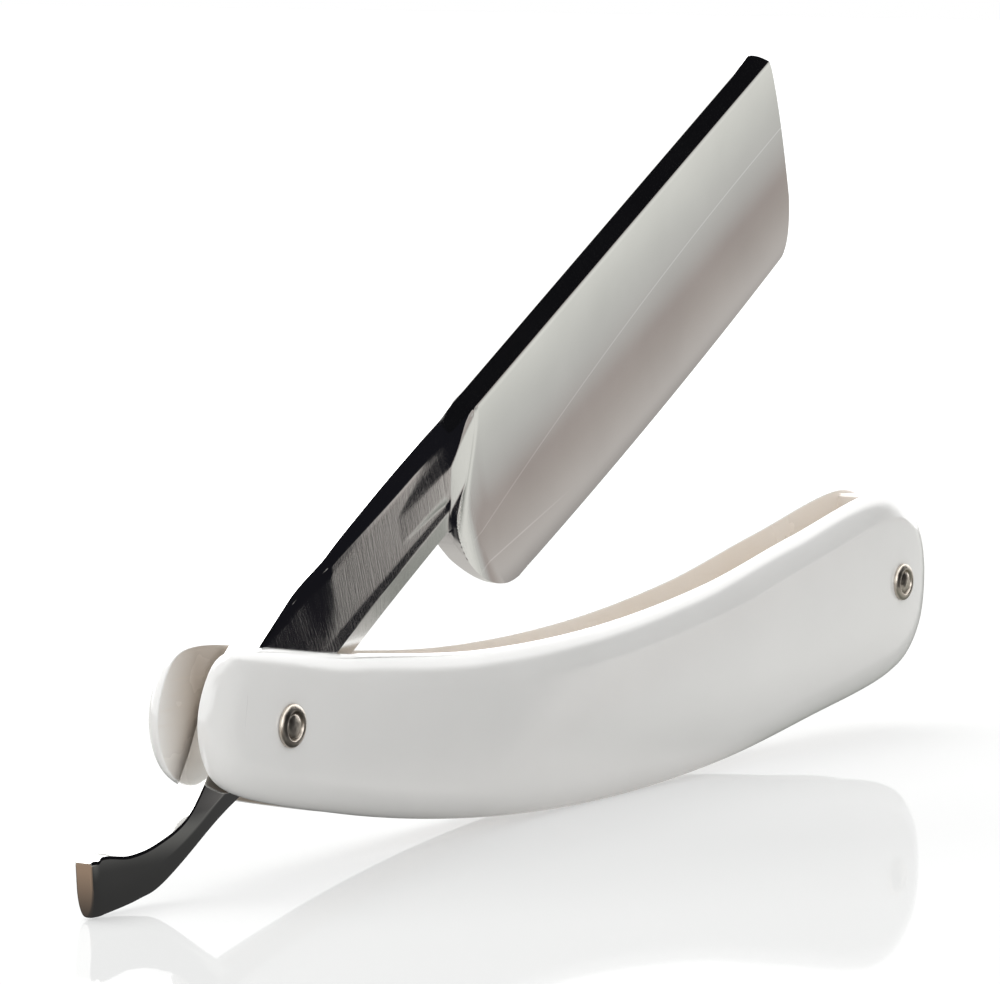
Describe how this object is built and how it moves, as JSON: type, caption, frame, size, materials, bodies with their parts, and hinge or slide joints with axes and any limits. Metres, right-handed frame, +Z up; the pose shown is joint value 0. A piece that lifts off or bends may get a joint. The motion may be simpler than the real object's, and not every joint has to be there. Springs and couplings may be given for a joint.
{
  "type": "straight razor",
  "caption": "Open straight razor with a hollow-ground blade that turns on a pin between two curved white scales; it stands on the scales' lower edges and its tail.",
  "frame": {"origin": "on the surface the razor stands on, under the middle of the whole open razor", "axes": "+X runs along the scales from the pivot to the wedge end, +Z is up, +Y crosses the razor away from the front scale"},
  "size_m": [0.162, 0.0108, 0.0774],
  "materials": {
    "scales": "moulded and polished",
    "wedge": "sanded flush",
    "blade": "mirror polished, brushed across the tang",
    "fittings": "peened and polished",
    "washers": "stamped"
  },
  "bodies": {
    "handle": {"front_scale": "scales", "back_scale": "scales", "wedge": "wedge", "pivot_pin": "fittings", "wedge_pin": "fittings", "pivot_collar_front": "fittings", "pivot_collar_back": "fittings", "wedge_collar_front": "fittings", "wedge_collar_back": "fittings", "pivot_washer_front": "washers", "pivot_washer_back": "washers"},
    "blade": {"blade": "blade"}
  },
  "joints": [
    {"name": "blade_pivot", "type": "hinge", "parent": "handle", "child": "blade", "pos_m": [-0.0541, 0, 0.01507], "axis": [0, -1, 0], "range_deg": [-25.2, 258]}
  ]
}
